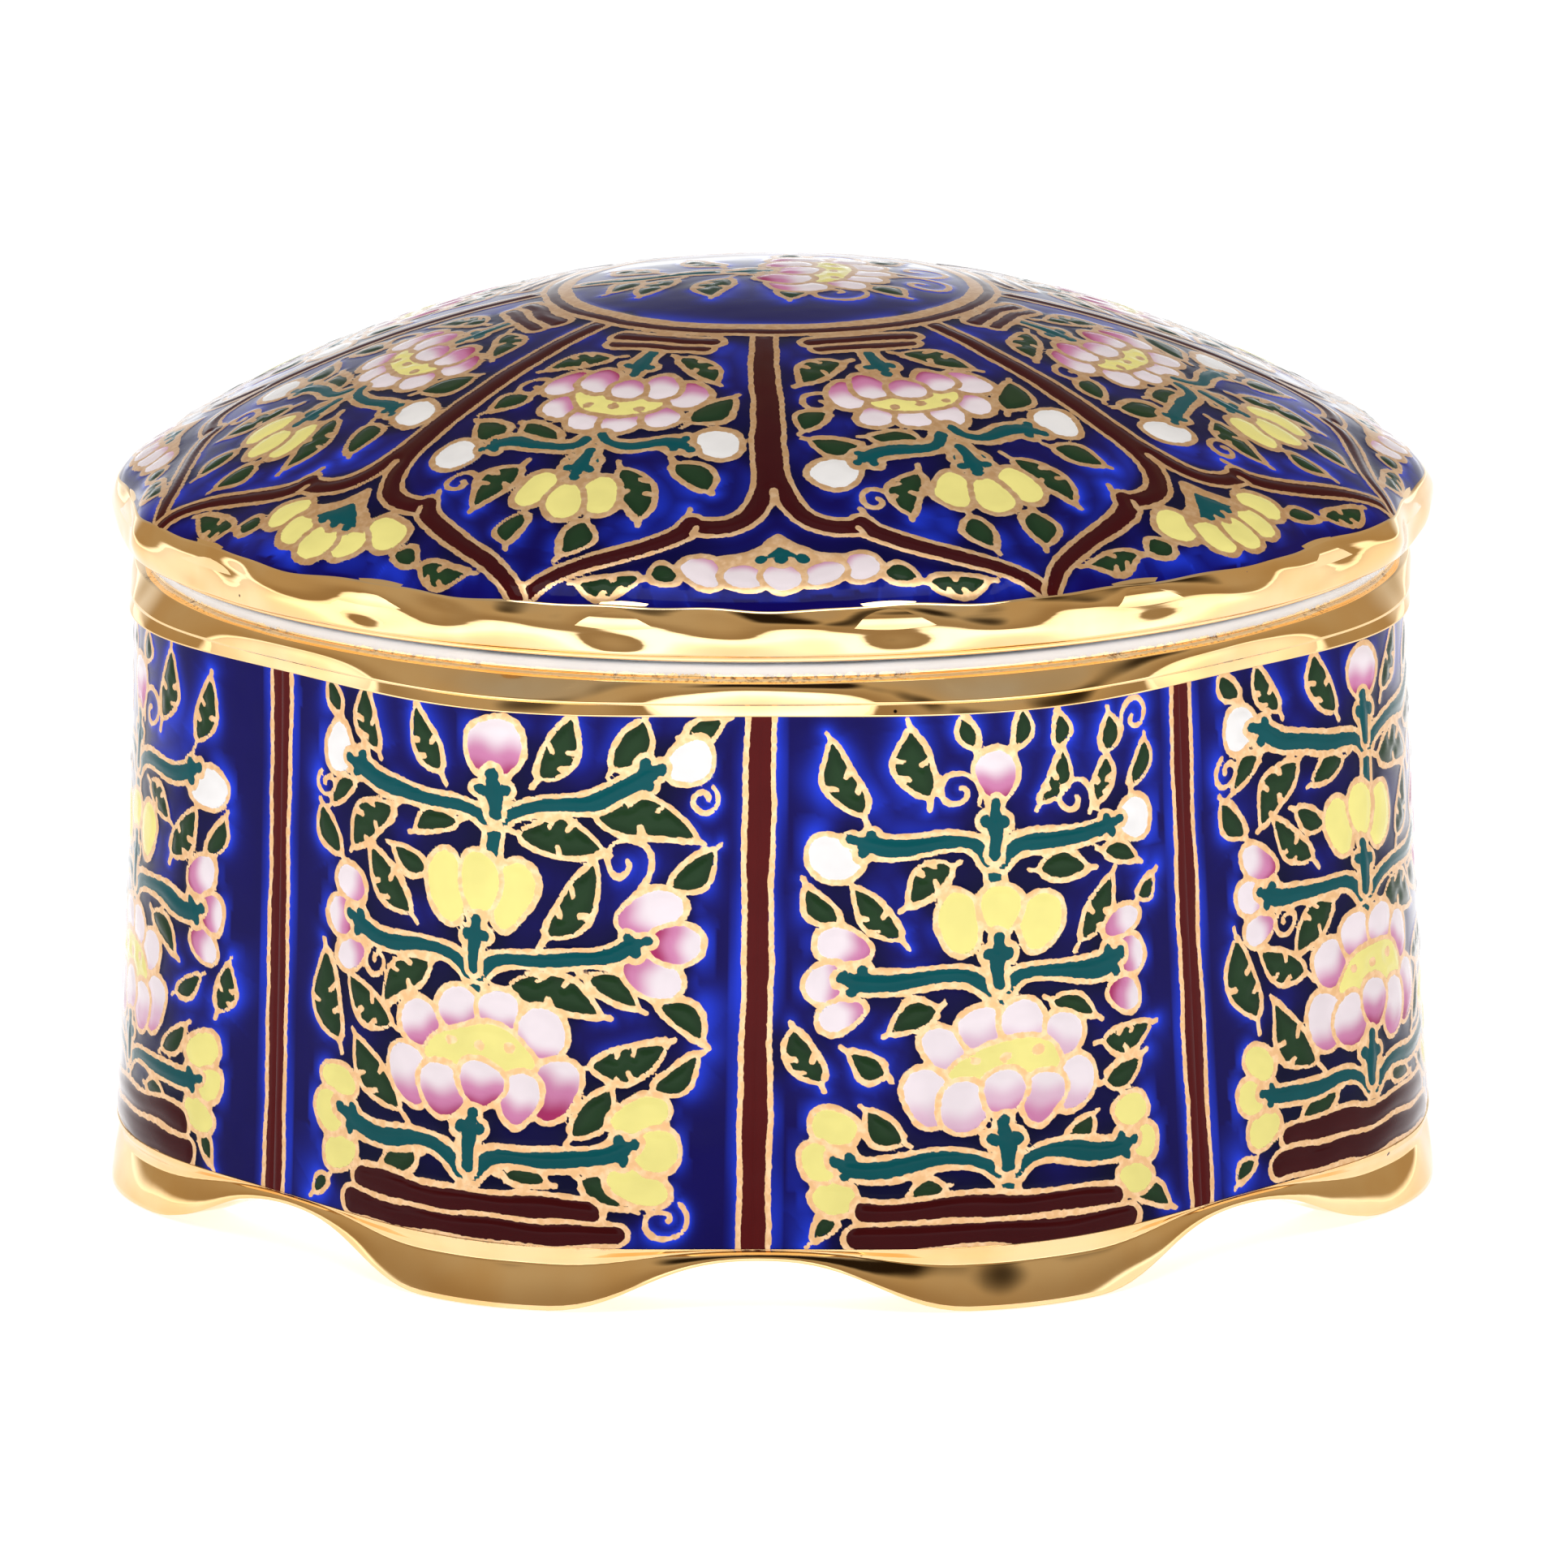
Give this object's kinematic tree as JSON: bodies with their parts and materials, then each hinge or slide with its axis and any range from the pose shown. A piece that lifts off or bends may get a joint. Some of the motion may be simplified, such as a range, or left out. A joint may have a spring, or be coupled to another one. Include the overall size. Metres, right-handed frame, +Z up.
{
  "type": "porcelain lidded box",
  "caption": "Low round lobed porcelain trinket box on scalloped gilt feet, with a domed lift-off lid, gilt rims and painted floral panels.",
  "frame": {"origin": "middle of the plane that the eight feet stand on", "axes": "+Z up along the box's axis, and -Y towards the front, where a valley between two of the box's lobes faces"},
  "size_m": [0.1194, 0.1194, 0.0795],
  "materials": {
    "box_porcelain": "white porcelain under a glossy cobalt ground with raised gilt outlines, coloured enamels, gilt band and feet",
    "lid_porcelain": "white porcelain under a glossy cobalt ground with raised gilt outlines, coloured enamels and a gilt rim"
  },
  "bodies": {
    "root": {"box": "box_porcelain", "lid": "lid_porcelain"}
  },
  "joints": []
}
